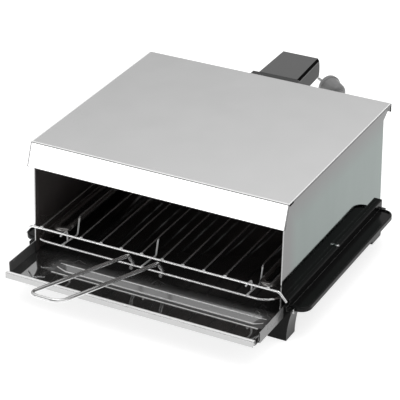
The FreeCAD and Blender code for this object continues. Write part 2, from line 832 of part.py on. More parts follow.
def plug_pins():
    aim = V(plug_heading[0], plug_heading[1], 0)
    pins = []
    roll = math.radians(plug_roll)
    for side in (-plug_pin_half, plug_pin_half):
        across, up = side * math.cos(roll), side * math.sin(roll)
        pin = cylinder(plug_pin_diameter, plug_pin_length, plug_point(0, across, up), aim)
        tip = [e for e in pin.Edges if e.Length > plug_pin_diameter and
               (e.CenterOfMass - plug_point(plug_pin_length, across, up)).Length < 0.01]
        pins.append(pin.makeFillet(plug_pin_tip, tip))
    return pins


def build():
    os.makedirs("parts", exist_ok=True)
    panel, frame, rail = hood_side(), side_frame(), rack_rail()
    save("hood_top", hood_top())
    save("hood_side_right", panel)
    save("hood_side_left", mirrored(panel))
    save("hood_back", hood_back())
    save("side_frame_right", frame)
    save("side_frame_left", mirrored(frame))
    screws = [screw(*place) for place in screw_places()]
    save("frame_screws", *screws, *[mirrored(s) for s in screws])
    save("rack_rail_right", rail)
    save("rack_rail_left", mirrored(rail))
    save("drawer_tray", drawer_tray())
    save("rack_front_wire", rack_front_wire())
    save("rack_lower_frame", rack_lower_frame())
    save("rack_rear_wire", rack_rear_wire())
    save("rack_rods", *rack_rods())
    save("rack_leg_rods", *rack_leg_rods())
    save("rack_middle_leg", rack_middle_leg())
    save("rack_hooks", *rack_hooks())
    save("rack_handle", rack_handle())
    save("heating_element", heating_element())
    save("element_bushes", *element_bushes())
    save("element_pins", *element_pins())
    save("terminal_cover", terminal_cover())
    save("cover_screws", *cover_screws())
    save("housing_shell", housing_shell())
    save("housing_lid", housing_lid())
    save("strain_relief", strain_relief())
    save("cord_lead", tube(cord_path(cord_lead_points()), cord_diameter))
    save("cord_tail", tube(cord_path(cord_tail_points()), cord_diameter))
    coil = coil_edges()
    print("coil length", round(sum(e.Length for e in coil)),
          "least gap", round(least_gap(coil, cord_diameter), 2))
    save("cord_coil", tube(coil, cord_diameter))
    save("plug_body", plug_body())
    save("plug_pins", *plug_pins())


build()
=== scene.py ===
# %% [markdown]
# # A table grill in polished steel
# The construction model gives every piece at its real size. This notebook dresses it: polished sheet,
# chromed wire, black mouldings, a mains cord, soft studio light and a camera. Everything is in metres, the
# table is at height zero and the grill's open front looks along -Y.

# %% Load the construction model
import json
import math

import bmesh
import bpy
from mathutils import Matrix, Vector

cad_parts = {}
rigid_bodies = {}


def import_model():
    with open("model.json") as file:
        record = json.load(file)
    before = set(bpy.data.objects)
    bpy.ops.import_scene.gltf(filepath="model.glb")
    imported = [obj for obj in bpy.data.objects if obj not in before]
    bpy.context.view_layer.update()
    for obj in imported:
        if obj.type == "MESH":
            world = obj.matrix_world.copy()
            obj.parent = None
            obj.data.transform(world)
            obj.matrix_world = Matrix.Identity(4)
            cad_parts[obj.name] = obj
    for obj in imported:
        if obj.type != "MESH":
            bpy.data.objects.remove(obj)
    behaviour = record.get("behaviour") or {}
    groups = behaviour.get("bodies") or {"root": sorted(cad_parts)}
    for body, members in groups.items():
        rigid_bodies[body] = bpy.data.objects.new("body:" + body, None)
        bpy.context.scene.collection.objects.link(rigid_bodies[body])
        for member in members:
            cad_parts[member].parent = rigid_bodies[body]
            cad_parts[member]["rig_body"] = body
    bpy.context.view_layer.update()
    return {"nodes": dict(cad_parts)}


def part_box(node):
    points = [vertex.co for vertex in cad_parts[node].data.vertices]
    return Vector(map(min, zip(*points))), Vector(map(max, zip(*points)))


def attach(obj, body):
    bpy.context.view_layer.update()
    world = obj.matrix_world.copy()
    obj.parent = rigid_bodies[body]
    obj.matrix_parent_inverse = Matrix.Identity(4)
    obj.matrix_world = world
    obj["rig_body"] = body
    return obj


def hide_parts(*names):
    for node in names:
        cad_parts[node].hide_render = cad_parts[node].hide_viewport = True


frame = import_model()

MM = 0.001
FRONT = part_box("hood_top")[1][1] - 315 * MM

# %% [markdown]
# ## Camera
# A product photographer stands well back with a long lens, so that the grill's edges stay nearly parallel.
# The place, the turn and the lens come from the straight edges in the photograph: where they would meet tells
# how far away the camera stood. A matrix built from three directions is less error-prone than three angles.

# %% Camera
CAMERA_PLACE = Vector((1.04283, FRONT - 1.816434, 1.31060))
CAMERA_AZIMUTH = math.radians(28.3664)
CAMERA_ELEVATION = math.radians(28.9685)
CAMERA_ROLL = math.radians(-0.6061)
CAMERA_LENS = 170.785


def add_camera():
    level = math.cos(CAMERA_ELEVATION)
    forward = Vector((-math.sin(CAMERA_AZIMUTH) * level, math.cos(CAMERA_AZIMUTH) * level,
                      -math.sin(CAMERA_ELEVATION)))
    right = Vector((math.cos(CAMERA_AZIMUTH), math.sin(CAMERA_AZIMUTH), 0))
    up = right.cross(forward)
    turn, lean = math.cos(CAMERA_ROLL), math.sin(CAMERA_ROLL)
    right, up = right * turn + up * lean, up * turn - right * lean
    data = bpy.data.cameras.new("camera")
    data.lens = CAMERA_LENS
    data.clip_end = 50
    camera = bpy.data.objects.new("camera", data)
    facing = Matrix((right, up, -forward)).transposed().to_4x4()
    camera.matrix_world = Matrix.Translation(CAMERA_PLACE) @ facing
    bpy.context.scene.collection.objects.link(camera)
    bpy.context.scene.camera = camera
    return camera


camera = add_camera()
bpy.context.scene.view_settings.view_transform = "Standard"
print("camera", round(CAMERA_PLACE.length, 3), "m from the origin, lens", CAMERA_LENS, "mm")

# %% [markdown]
# ## Node trees as plain Python
# A procedural finish is a formula over the surface, and a row of rods is a formula over numbers. Both are
# node trees. Wrapping a socket in a small class lets a formula be written with + - and *, and one method adds
# any other node: its settings first, then its inputs.

# %% Flow and Network


def connect(tree, value, socket):
    if isinstance(value, Flow):
        tree.links.new(value.socket, socket)
    else:
        socket.default_value = value


class Flow:
    """A value on its way through a node tree."""

    def __init__(self, tree, socket):
        self.tree = tree
        self.socket = socket

    def math(self, operation, other=0.0, swapped=False):
        node = self.tree.nodes.new("ShaderNodeMath")
        node.operation = operation
        connect(self.tree, self, node.inputs[1 if swapped else 0])
        connect(self.tree, other, node.inputs[0 if swapped else 1])
        return Flow(self.tree, node.outputs[0])

    def __add__(self, other):
        return self.math("ADD", other)

    def __mul__(self, other):
        return self.math("MULTIPLY", other)

    def __sub__(self, other):
        return self.math("SUBTRACT", other)

    def __rsub__(self, other):
        return self.math("SUBTRACT", other, True)

    def over(self, level):
        """One where the value is above a level, else nought."""
        return self.math("GREATER_THAN", level)

    __radd__ = __add__
    __rmul__ = __mul__


class Network:
    """A node tree that is written line by line."""

    def __init__(self, tree):
        self.tree = tree

    def add(self, kind, settings, inputs, output=0):
        node = self.tree.nodes.new(kind)
        for key, value in settings.items():
            if key == "stops":
                ramp = node.color_ramp
                while len(ramp.elements) < len(value):
                    ramp.elements.new(1.0)
                for element, (place, colour) in zip(ramp.elements, value):
                    element.position = place
                    element.color = colour
            else:
                setattr(node, key, value)
        for socket, value in inputs.items():
            connect(self.tree, value, node.inputs[socket])
        return Flow(self.tree, node.outputs[output])

    def ramp(self, factor, stops):
        return self.add("ShaderNodeValToRGB", {"stops": stops}, {"Fac": factor})


def grey(value):
    return (value, value, value, 1)


# %% [markdown]
# ## A finish
# Each finish is one material. Noise gives it its grain, and the size of the noise is written in metres,
# because that is how grain is measured on the real thing: rolling marks are a third of a millimetre apart,
# smudges are as wide as a thumb. The noise reads the object's own coordinates, so nothing swims when the
# grill is seen from elsewhere.

# %% Finish


class Finish(Network):
    """One material: a shader, and the nodes that feed it."""

    def __init__(self, name, fixed):
        self.material = bpy.data.materials.new(name)
        self.material.use_nodes = True
        super().__init__(self.material.node_tree)
        self.shader = self.tree.nodes["Principled BSDF"]
        for socket, value in fixed.items():
            self.shader.inputs[socket].default_value = value

    def place(self, stretch=(1, 1, 1)):
        """Where a point lies on the object, in metres, stretched along the axes."""
        where = self.add("ShaderNodeTexCoord", {}, {}, "Object")
        return self.add("ShaderNodeMapping", {}, {"Vector": where, "Scale": stretch})

    def along(self, axis):
        return self.add("ShaderNodeSeparateXYZ", {}, {0: self.place()}, "XYZ".index(axis))

    def noise(self, size, detail=2.0, stretch=(1, 1, 1)):
        """Cloudy noise whose blobs are about size metres wide."""
        return self.add("ShaderNodeTexNoise", {}, {"Vector": self.place(stretch), "Scale": 1 / size,
                                                   "Detail": detail}, "Fac")

    def between(self, factor, low, high):
        return self.add("ShaderNodeMix", {"data_type": "RGBA"}, {0: factor, 6: low, 7: high}, 2)

    def bump(self, height, depth, strength=1.0, after=None):
        inputs = {"Height": height, "Distance": depth, "Strength": strength}
        if after is not None:
            inputs["Normal"] = after
        return self.add("ShaderNodeBump", {}, inputs)

    def feed(self, **values):
        for name, value in values.items():
            connect(self.tree, value, self.shader.inputs[name.replace("_", " ").title()])
        return self.material


# %% [markdown]
# ## Polished sheet
# Polished stainless sheet is a mirror that is not quite flat and not quite clean. Very fine rolling marks
# spread its reflections along one direction, a slow waviness bends them, and wiped places are duller. The
# three are noises of very different sizes. The side panels lean towards green, and their colour is painted
# much darker than the top's, a painted shade for the dim light that they mirror off the table. Soft upright
# bands on them are where the sheet was pressed, and their upper and front borders are painted a neutral grey,
# a painted reflection where the sheet leans a little.

# %% Steel finishes
ROLLING = 0.35 * MM
WAVINESS = 110 * MM
SMUDGE = 45 * MM
SPAN = [(0.0, grey(0.0)), (1.0, grey(1.0))]
BORDER_FOOT = 146 * MM
BORDER_BACK = FRONT + 34 * MM
UPPER_RISE = 30
FRONT_RISE = 40


def border_reflection_mask(finish):
    """One along a side panel's upper and front folds, where the sheet leans a little and its reflection is
    painted, nought inside.
    """
    upper = finish.ramp((finish.along("Z") - BORDER_FOOT) * UPPER_RISE, SPAN)
    front = finish.ramp((BORDER_BACK - finish.along("Y")) * FRONT_RISE, SPAN)
    return upper.math("MAXIMUM", front)


def sheet_steel(name, light, dark, gloss, along, wave=0.10 * MM, bands=(1, 1, 1), border=None):
    finish = Finish(name, {"Metallic": 1.0})
    stretch = (0.02, 1, 1) if along == "X" else (1, 0.02, 1)
    marks = finish.noise(ROLLING, 3.0, stretch)
    smudges = finish.noise(SMUDGE, 3.0, bands)
    waves = finish.noise(WAVINESS, 0.0)
    colour = finish.between(smudges * 0.8 + marks * 0.2, dark, light)
    # The border colour is a painted reflection along the panels' upper and front folds.
    if border:
        colour = finish.between(border_reflection_mask(finish), colour, border)
    surface = finish.bump(marks, 0.002 * MM, 0.3, finish.bump(waves, wave, 0.5))
    return finish.feed(base_color=colour, roughness=smudges * 0.05 + marks * 0.02 + gloss, normal=surface)


top_steel = sheet_steel("polished_top", grey(0.82), grey(0.75), 0.08, "X")
# The side panels' colour is painted far darker than the top's, a painted shade; the back and narrow strips of
# the top use it too.
shaded_side_steel = sheet_steel("polished_side", (0.196, 0.231, 0.219, 1), (0.156, 0.186, 0.177, 1), 0.02, "Y",
                         0.06 * MM, (1, 1, 0.3), grey(0.168))
# A mid grey for narrow strips: a painted highlight on the panels' front edges and a painted dark line in the
# top's front bend.
edge_line_steel = sheet_steel("cut_edge", grey(0.50), grey(0.38), 0.15, "Y")

# %% [markdown]
# The hood's inside is the same sheet, painted a dark brownish colour: a painted shade for the hood's dark
# inside, through which only a dim reflection comes. A dark base colour keeps the mirror and takes its light
# away, and a little of the colour scatters light. The drawer is painted just as dark where it lies under the
# hood, a painted shade too. Its front lies out from under the hood and stays bright, so its colour changes
# along the grill's depth, with a ragged border. Pressing the basin drew the floor in around it: a bump tilts
# the mirror there, and a duller, half-diffuse band painted round the basin is a painted sheen. The basin's
# folds have a painted highlight, brighter than the sheet.

# %% Heated steel
INNER_SHADE_DARK = (0.165, 0.146, 0.142, 1)
INNER_SHADE_LIGHT = (0.285, 0.258, 0.250, 1)


# The inside is painted a dark brownish colour, a painted shade for the hood's dark inside.
def shaded_inner_finish():
    finish = Finish("heated_inside", {"Metallic": 0.6})
    shade_blotches = finish.noise(60 * MM, 4.0)
    marks = finish.noise(ROLLING, 3.0, (1, 0.02, 1))
    return finish.feed(base_color=finish.between(shade_blotches, INNER_SHADE_DARK, INNER_SHADE_LIGHT), roughness=shade_blotches * 0.15 + 0.12,
                       normal=finish.bump(marks, 0.004 * MM, 0.3))


BASIN_MIDDLE = 15.5 * MM
BASIN_HALF = 150.5 * MM
BASIN_BACK = FRONT - 20.5 * MM
BASIN_FRONT = FRONT - 44 * MM
WALL_FOOT = 36 * MM
DRAW_IN = 20 * MM
DRAW_SLOPE = 0.30
SHADE_FRONT = FRONT + 2 * MM
SHADE_RAGGED = 40 * MM
SHADE_RISE = 60


def basin_nearness(finish):
    """One at the basin's rim, nought a little way off it, and nothing on the walls."""
    across = (finish.along("X") - BASIN_MIDDLE).math("ABSOLUTE") - BASIN_HALF
    behind = finish.along("Y") - BASIN_BACK
    across, behind = across.math("MAXIMUM", 0.0), behind.math("MAXIMUM", 0.0)
    away = (across * across + behind * behind).math("POWER", 0.5)
    near = 1 - (away * (1 / DRAW_IN)).math("MINIMUM", 1.0)
    floor = 1 - finish.along("Z").over(WALL_FOOT)
    return near * floor


def drawer_sheet():
    finish = Finish("polished_drawer", {})
    marks = finish.noise(ROLLING, 3.0, (0.02, 1, 1))
    smudges = finish.noise(SMUDGE, 3.0)
    # Behind a ragged border under the hood the floor is painted dark, a painted shade.
    border = finish.along("Y") + smudges * SHADE_RAGGED
    hood_shade = finish.ramp((border - SHADE_FRONT) * SHADE_RISE, SPAN)
    open_floor = finish.between(smudges * 0.8 + marks * 0.2, grey(0.31), grey(0.42))
    shade_floor = finish.between(smudges, grey(0.04), grey(0.08))
    near = basin_nearness(finish)
    near = near * near
    surface = finish.bump(marks, 0.0006 * MM, 0.3, finish.bump(near * (-DRAW_IN * DRAW_SLOPE / 2), 1.0))
    # A duller, half-diffuse grey band painted round the basin, a painted sheen for the glow of the drawn-in
    # sheet.
    rim_glow = near * finish.along("Y").over(BASIN_FRONT)
    colour = finish.between(rim_glow, finish.between(hood_shade, open_floor, shade_floor), grey(0.235))
    return finish.feed(base_color=colour, metallic=0.95 - hood_shade * 0.30 - rim_glow * 0.47,
                       roughness=smudges * 0.04 + rim_glow * 0.10 + 0.04, normal=surface)


shaded_inner_steel = shaded_inner_finish()
drawer_steel = drawer_sheet()
# The lip is painted lighter than the drawer's floor, a painted reflection of the bright room in front.
lip_painted_light = sheet_steel("drawer_lip", grey(0.57), grey(0.47), 0.12, "X")
shaded_fold = sheet_steel("shaded_fold", grey(0.07), grey(0.05), 0.15, "Y")

# %% [markdown]
# ## Small metal
# The rack's wire is drawn, so it has fine scores under its chrome, and a few dull spots. The rods under the
# hood have a darker, duller chrome, a painted shade, and the legs and hooks a nearly white, mostly diffuse
# one, a painted light. A weld is rougher than the wire, and its half-white colour is a painted glint. The
# element's sheath has turned dark grey in use, with a thin oxide that still shines, and the screws are zinc
# plated. The nearly white fold finishes are painted highlights, and the drawer's walls have a duller grey
# painted to the light on them.

# %% Wire, weld, element and screw finishes


def small_metal(name, light, dark, gloss, spread, grain, depth, metallic=1.0):
    finish = Finish(name, {"Metallic": metallic})
    spots = finish.noise(grain * 6, 3.0)
    fine = finish.noise(grain, 2.0)
    return finish.feed(base_color=finish.between(spots, dark, light), roughness=spots * spread + gloss,
                       normal=finish.bump(fine, depth, 0.35))


chrome = small_metal("chrome_wire", grey(1.0), grey(0.85), 0.04, 0.05, 0.9 * MM, 0.004 * MM)
# The rods get a darker, duller chrome as painted shade under the hood; the legs and hooks a nearly white,
# mostly diffuse one as painted light.
rod_painted_shade = small_metal("rod_wire", grey(0.80), grey(0.55), 0.16, 0.10, 0.9 * MM, 0.01 * MM, 0.85)
leg_painted_light = small_metal("leg_wire", grey(1.0), grey(0.92), 0.18, 0.10, 0.9 * MM, 0.002 * MM, 0.25)
handle_chrome = small_metal("handle_wire", grey(0.85), grey(0.65), 0.05, 0.05, 0.9 * MM, 0.002 * MM, 0.86)
# Half white diffuse and half mirror: the white is a painted glint on each bead.
weld = small_metal("weld", grey(1.0), grey(0.85), 0.15, 0.15, 0.7 * MM, 0.03 * MM, 0.5)
sheath = small_metal("element_sheath", (0.40, 0.39, 0.38, 1), (0.24, 0.23, 0.225, 1), 0.16, 0.10, 1.4 * MM,
                     0.002 * MM, 0.85)
# Nearly white and mostly diffuse: a painted highlight on the top's folded edges and on the top of the
# drawer's lip.
bright_fold = small_metal("bright_fold", grey(1.0), grey(0.94), 0.20, 0.10, 0.9 * MM, 0.002 * MM, 0.15)
# A duller, half-diffuse copy of the drawer's sheet for its walls, its grey painted to the light that they
# show.
drawer_wall = small_metal("drawer_wall", grey(0.24), grey(0.15), 0.20, 0.15, 8 * MM, 0.002 * MM, 0.4)
# Nearly white: a painted highlight along the basin's folds.
basin_fold_highlight = small_metal("burnished_fold", grey(1.0), grey(0.90), 0.25, 0.10, 0.9 * MM, 0.002 * MM, 0.3)
zinc = small_metal("screw_zinc", grey(0.55), grey(0.40), 0.16, 0.15, 0.5 * MM, 0.02 * MM)

# %% [markdown]
# ## Mouldings
# The side frames are a heat-proof black moulding with a high gloss. A gloss moulding is never quite flat:
# a faint orange peel breaks up its highlights. The rear housing is the same kind of stuff with a satin grain,
# so it looks dark grey in the light. The cord is soft and just as dull, and the plug has a light sheen.

# %% Mouldings, cord and plug


def moulding(name, low, high, gloss, grain, depth, shine=0.5, blotch=30 * MM):
    finish = Finish(name, {"Specular IOR Level": shine})
    peel = finish.noise(grain, 3.0)
    wear = finish.noise(blotch, 4.0)
    return finish.feed(base_color=finish.between(wear, low, high),
                       roughness=wear * 0.08 + peel * 0.04 + gloss, normal=finish.bump(peel, depth, 0.5))


black_gloss = moulding("black_moulding", grey(0.003), grey(0.007), 0.10, 3.5 * MM, 0.04 * MM, 0.12)
# A paler grey on the frames' bevelled edges, a painted highlight.
black_edge = moulding("black_edge", grey(0.13), grey(0.19), 0.12, 3.5 * MM, 0.02 * MM, 0.6)
lid_grey = moulding("lid_moulding", grey(0.085), grey(0.105), 0.42, 0.6 * MM, 0.05 * MM)
shell_grey = moulding("shell_moulding", grey(0.034), grey(0.046), 0.45, 0.6 * MM, 0.05 * MM, 0.3)
# Black for the lid's slants and the top's front corners, a painted shade.
painted_shade_black = moulding("black_trim", grey(0.004), grey(0.008), 0.40, 0.6 * MM, 0.04 * MM, 0.0)
rubber = moulding("cord_sheath", grey(0.014), grey(0.024), 0.46, 0.8 * MM, 0.03 * MM)
plug_grey = moulding("plug_moulding", grey(0.16), grey(0.23), 0.28, 0.7 * MM, 0.04 * MM)
ceramic = moulding("ceramic", (0.72, 0.68, 0.60, 1), (0.82, 0.79, 0.72, 1), 0.55, 0.9 * MM, 0.05 * MM)

# %% [markdown]
# ## Cord
# The mains cord leaves the housing low down behind the grill, falls to the table, and lies there in a small
# coil before it reaches the plug. A NURBS spline bends like a real cord, because no stretch of it is quite
# straight. Its control points repeat the chosen route; the coil's own points come from a loop.

# %% Cord route
CORD = 7 * MM
COVER_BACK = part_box("terminal_cover")[1][1]
CORD_Z = CORD / 2 + 0.1 * MM
OUTLET = Vector((0, COVER_BACK, 62 * MM))
RELIEF_LENGTH = 32 * MM
COIL_CENTRE = Vector((-36 * MM, FRONT + 562 * MM, CORD_Z))
COIL_RADIUS = 39.2 * MM
COIL_PITCH = 7.6 * MM
COIL_CLIMB = 2
POINTS_PER_HALF_TURN = 8
PLUG_CENTRE = Vector((-61 * MM, FRONT + 656.8 * MM, 18.5 * MM))
PLUG_AIM = Vector((-0.834, 0.552, 0)).normalized()
PLUG_BODY = 34 * MM
PLUG_SLEEVE = 20 * MM


def lead_points():
    start = OUTLET + Vector((0, RELIEF_LENGTH, 0))
    drops = [(0, 51, 62), (-0.8, 77, 55), (0.4, 104, 37.5), (2.2, 127, 19.5), (4.6, 151, 7.4)]
    points = [Vector((x * MM, COVER_BACK + y * MM, z * MM)) for x, y, z in drops]
    x = COIL_CENTRE.x + COIL_RADIUS + COIL_PITCH / 2
    return [start] + points + [Vector((x, COVER_BACK + 174 * MM, CORD_Z))]


def coil_points():
    """Half turns that spiral in, climb a layer and spiral out again."""
    radii = [COIL_RADIUS + COIL_PITCH / 2 * k for k in (1, 0, -1, 0, 1, 2)]
    place, side, height = COIL_RADIUS + COIL_PITCH / 2, 1, 0.0
    points = []
    for number, radius in enumerate(radii):
        centre = place - side * radius
        for step in range(POINTS_PER_HALF_TURN):
            share = step / POINTS_PER_HALF_TURN
            angle = math.pi * share
            rise = COIL_PITCH * share if number == COIL_CLIMB else 0.0
            points.append(COIL_CENTRE + Vector((centre + side * radius * math.cos(angle),
                                                side * radius * math.sin(angle), height + rise)))
        height += COIL_PITCH if number == COIL_CLIMB else 0.0
        place, side = centre - side * radius, -side
    return points + [COIL_CENTRE + Vector((place, 0, height))]


def tail_points():
    start = coil_points()[-1]
    behind = PLUG_CENTRE - PLUG_AIM * (PLUG_BODY + PLUG_SLEEVE)
    return [start + Vector((0, 28 * MM, 0)), behind - PLUG_AIM * 20 * MM, behind]


def add_cord():
    points = lead_points() + coil_points() + tail_points()
    data = bpy.data.curves.new("mains_cord", "CURVE")
    data.dimensions = "3D"
    data.bevel_depth = CORD / 2
    data.bevel_resolution = 5
    data.use_fill_caps = True
    data.resolution_u = 6
    spline = data.splines.new("NURBS")
    spline.points.add(len(points) - 1)
    for knot, point in zip(spline.points, points):
        knot.co = (*point, 1)
    spline.order_u = 3
    spline.use_endpoint_u = True
    spline.use_smooth = True
    cord = bpy.data.objects.new("mains_cord", data)
    bpy.context.scene.collection.objects.link(cord)
    data.materials.append(rubber)
    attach(cord, "grill")
    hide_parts("cord_lead", "cord_coil", "cord_tail")
    print("cord", len(points), "control points")
    return cord


cord = add_cord()

# %% [markdown]
# ## Turned pieces
# A plug, a sleeve, a screw head and a rod are turned: a profile goes round an axis. The profile is a short
# list of stations, each a distance along the axis and a radius, and a loop makes the rings. The poles are
# closed with a fan, so that the piece is a real solid.

# %% Turning
NOWHERE = Vector((0, 0, 0))
BACKWARD = Vector((0, 1, 0))
UPWARD = Vector((0, 0, 1))


def turned(bm, stations, start, aim, steps=40, squash=None):
    """A closed solid of rings round an axis. squash(angle, station) may change a radius."""
    aim = aim.normalized()
    across = aim.cross(UPWARD)
    across = across.normalized() if across.length > 0.01 else Vector((1, 0, 0))
    over = across.cross(aim)
    rings = []
    for along, radius in stations:
        ring = []
        for i in range(steps):
            angle = 2 * math.pi * i / steps
            r = radius * squash(angle, along) if squash else radius
            point = start + aim * along + across * math.cos(angle) * r + over * math.sin(angle) * r
            ring.append(bm.verts.new(point))
        rings.append(ring)
    for low, high in zip(rings, rings[1:]):
        for i in range(steps):
            j = (i + 1) % steps
            bm.faces.new((low[i], high[i], high[j], low[j]))
    for ring, along in ((rings[0], stations[0][0]), (rings[-1], stations[-1][0])):
        pole = bm.verts.new(start + aim * along)
        for i in range(steps):
            bm.faces.new((ring[i], ring[(i + 1) % steps], pole))
    return rings


def mesh_of(name, bm, materials=()):
    bmesh.ops.recalc_face_normals(bm, faces=bm.faces)
    mesh = bpy.data.meshes.new(name)
    bm.to_mesh(mesh)
    bm.free()
    for material in materials:
        mesh.materials.append(material)
    return mesh


def piece(name, mesh, body, nodes=(), sharp=35):
    """A finished piece: smooth shading with sharp edges, riding on a body."""
    mesh.shade_smooth()
    mesh.set_sharp_from_angle(angle=math.radians(sharp))
    obj = bpy.data.objects.new(name, mesh)
    bpy.context.scene.collection.objects.link(obj)
    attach(obj, body)
    if nodes:
        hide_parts(*nodes)
    return obj


# %% [markdown]
# ## Plug
# A moulded round two-pin plug: a flat face, a bell-shaped grip with finger ribs, and a sleeve that tapers to
# the cord. The ribs are a cosine on the radius, strongest in the middle of the grip. It lies on its rim with
# its pins turned, as it fell.

# %% Plug
PLUG_RIBS = 14
PLUG_ROLL = math.radians(45)
PIN_SPREAD = 9.5 * MM
GRIP_MIDDLE = -18 * MM
GRIP_REACH = 11 * MM
GRIP_CUT = 0.03
PLUG_STATIONS = [(-54, 4.1), (-53.5, 4.5), (-44, 5.4), (-35, 6.3), (-34.4, 6.8), (-34, 8.0), (-33.3, 10.0),
                 (-31.5, 12.2), (-28.5, 13.6), (-24, 14.4), (-18, 15.2), (-12, 16.1), (-7.6, 16.9),
                 (-7.0, 17.2), (-6.9, 18.0), (-6.2, 18.45), (-1.0, 18.45), (-0.3, 18.2), (0, 17.6),
                 (0, 12.0), (-0.8, 11.6), (-0.8, 4.0)]
PIN_STATIONS = [(-0.8, 1.0), (-0.8, 2.4), (17.4, 2.4), (18.5, 2.0), (19.0, 1.1)]


def plug_ribs(angle, along):
    share = max(0.0, 1 - ((along - GRIP_MIDDLE) / GRIP_REACH) ** 2)
    return 1 - GRIP_CUT * share * (1 - math.cos(PLUG_RIBS * angle)) / 2


def add_plug():
    bm = bmesh.new()
    turned(bm, [(a * MM, r * MM) for a, r in PLUG_STATIONS], PLUG_CENTRE, PLUG_AIM, 56, plug_ribs)
    mesh = mesh_of("mains_plug", bm, [plug_grey])
    plug = piece("mains_plug", mesh, "grill", ["plug_body"], 30)
    bm = bmesh.new()
    level = UPWARD.cross(PLUG_AIM).normalized()
    side = level * math.cos(PLUG_ROLL) + UPWARD * math.sin(PLUG_ROLL)
    for across in (-PIN_SPREAD, PIN_SPREAD):
        turned(bm, [(a * MM, r * MM) for a, r in PIN_STATIONS], PLUG_CENTRE + side * across, PLUG_AIM, 20)
    mesh = mesh_of("plug_contacts", bm, [zinc])
    pins = piece("plug_contacts", mesh, "grill", ["plug_pins"], 40)
    return plug, pins


plug, pins = add_plug()
print("plug", len(plug.data.polygons), "faces")

# %% [markdown]
# ## Repeats
# Rods, weld beads, screws and ribs are the same thing many times over. Copying them in a Python loop works,
# but a Geometry Nodes tree says the rule once and takes its sizes by name, and its seed makes the small
# differences the same in every run. What goes in is the shape that is repeated, or the points that it goes
# to. The result is kept as a plain mesh.

# %% Repeat


class Repeat(Network):
    """A geometry tree with named sizes, which ends as one painted mesh."""

    def __init__(self, name, sizes):
        super().__init__(bpy.data.node_groups.new(name, "GeometryNodeTree"))
        face = self.tree.interface
        for label, kind in {"Geometry": "Geometry", **sizes, "Material": "Material"}.items():
            face.new_socket(label, in_out="INPUT", socket_type="NodeSocket" + kind)
        face.new_socket("Geometry", in_out="OUTPUT", socket_type="NodeSocketGeometry")
        self.inlet = self.tree.nodes.new("NodeGroupInput")

    def size(self, label):
        return Flow(self.tree, self.inlet.outputs[label])

    def chance(self, low, high):
        """A number between two others, different for each copy."""
        return self.add("FunctionNodeRandomValue", {"data_type": "FLOAT"},
                        {2: low, 3: high, "Seed": self.size("Seed")}, 1)

    def close(self, copies):
        whole = self.add("GeometryNodeRealizeInstances", {}, {"Geometry": copies})
        painted = self.add("GeometryNodeSetMaterial", {},
                           {"Geometry": whole, "Material": self.size("Material")})
        outlet = self.tree.nodes.new("NodeGroupOutput")
        connect(self.tree, painted, outlet.inputs["Geometry"])
        return self.tree


def grown(name, tree, start, **sizes):
    """The plain mesh that a tree makes of a mesh."""
    carrier = bpy.data.objects.new(name, start)
    bpy.context.scene.collection.objects.link(carrier)
    rule = carrier.modifiers.new("rule", "NODES")
    rule.node_group = tree
    sockets = {item.name: item.identifier for item in tree.interface.items_tree if item.in_out == "INPUT"}
    for label, value in sizes.items():
        rule[sockets[label.replace("_", " ").title()]] = value
    ready = carrier.evaluated_get(bpy.context.evaluated_depsgraph_get())
    mesh = bpy.data.meshes.new_from_object(ready)
    carrier.modifiers.remove(rule)
    bpy.data.objects.remove(carrier)
    mesh.name = name
    print(name, len(mesh.polygons), "faces")
    return mesh


# %% [markdown]
# ### A row
# The first tree sets copies on a line. Two places may stay empty, because the rack's second rod from each
# side is bent down into a leg and is a piece of its own. A taper makes each copy a little smaller than the
# one before it, which is what the ribs of the cord's sleeve need.

# %% Row tree


def row_tree():
    rule = Repeat("row", {"Count": "Int", "First": "Vector", "Step": "Vector", "Gap A": "Int",
                          "Gap B": "Int", "Taper": "Float"})
    line = rule.add("GeometryNodeMeshLine", {"mode": "OFFSET"},
                    {"Count": rule.size("Count"), "Start Location": rule.size("First"),
                     "Offset": rule.size("Step")})
    number = rule.add("GeometryNodeInputIndex", {}, {})
    miss = (number - rule.size("Gap A")) * (number - rule.size("Gap B"))
    empty = rule.add("FunctionNodeCompare", {"data_type": "FLOAT", "operation": "EQUAL"},
                     {0: miss, 1: 0.0, "Epsilon": 0.5})
    kept = rule.add("GeometryNodeDeleteGeometry", {"domain": "POINT"},
                    {"Geometry": line, "Selection": empty})
    across = 1 - number * rule.size("Taper")
    scale = rule.add("ShaderNodeCombineXYZ", {}, {"X": across, "Y": 1.0, "Z": across})
    return rule.close(rule.add("GeometryNodeInstanceOnPoints", {},
                               {"Points": kept, "Instance": rule.size("Geometry"), "Scale": scale}))


row = row_tree()
NO_GAP = {"gap_a": -1, "gap_b": -1}

# %% [markdown]
# ### Strain relief
# Where the cord leaves the housing a soft sleeve keeps it from kinking. It tapers to the cord, and its ribs
# are what lets it bend. One rib is turned, the row repeats it, and the tapered core goes through them all.

# %% Strain relief
RELIEF_BASE = 6.0 * MM
RELIEF_TIP = 4.7 * MM
RIB_START = 3.0 * MM
RIB_PITCH = 5.4 * MM
RIB_WIDTH = 2.2 * MM
RIB_STAND = 0.6 * MM
RIB_SOFT = 0.3 * MM
RIBS = 5


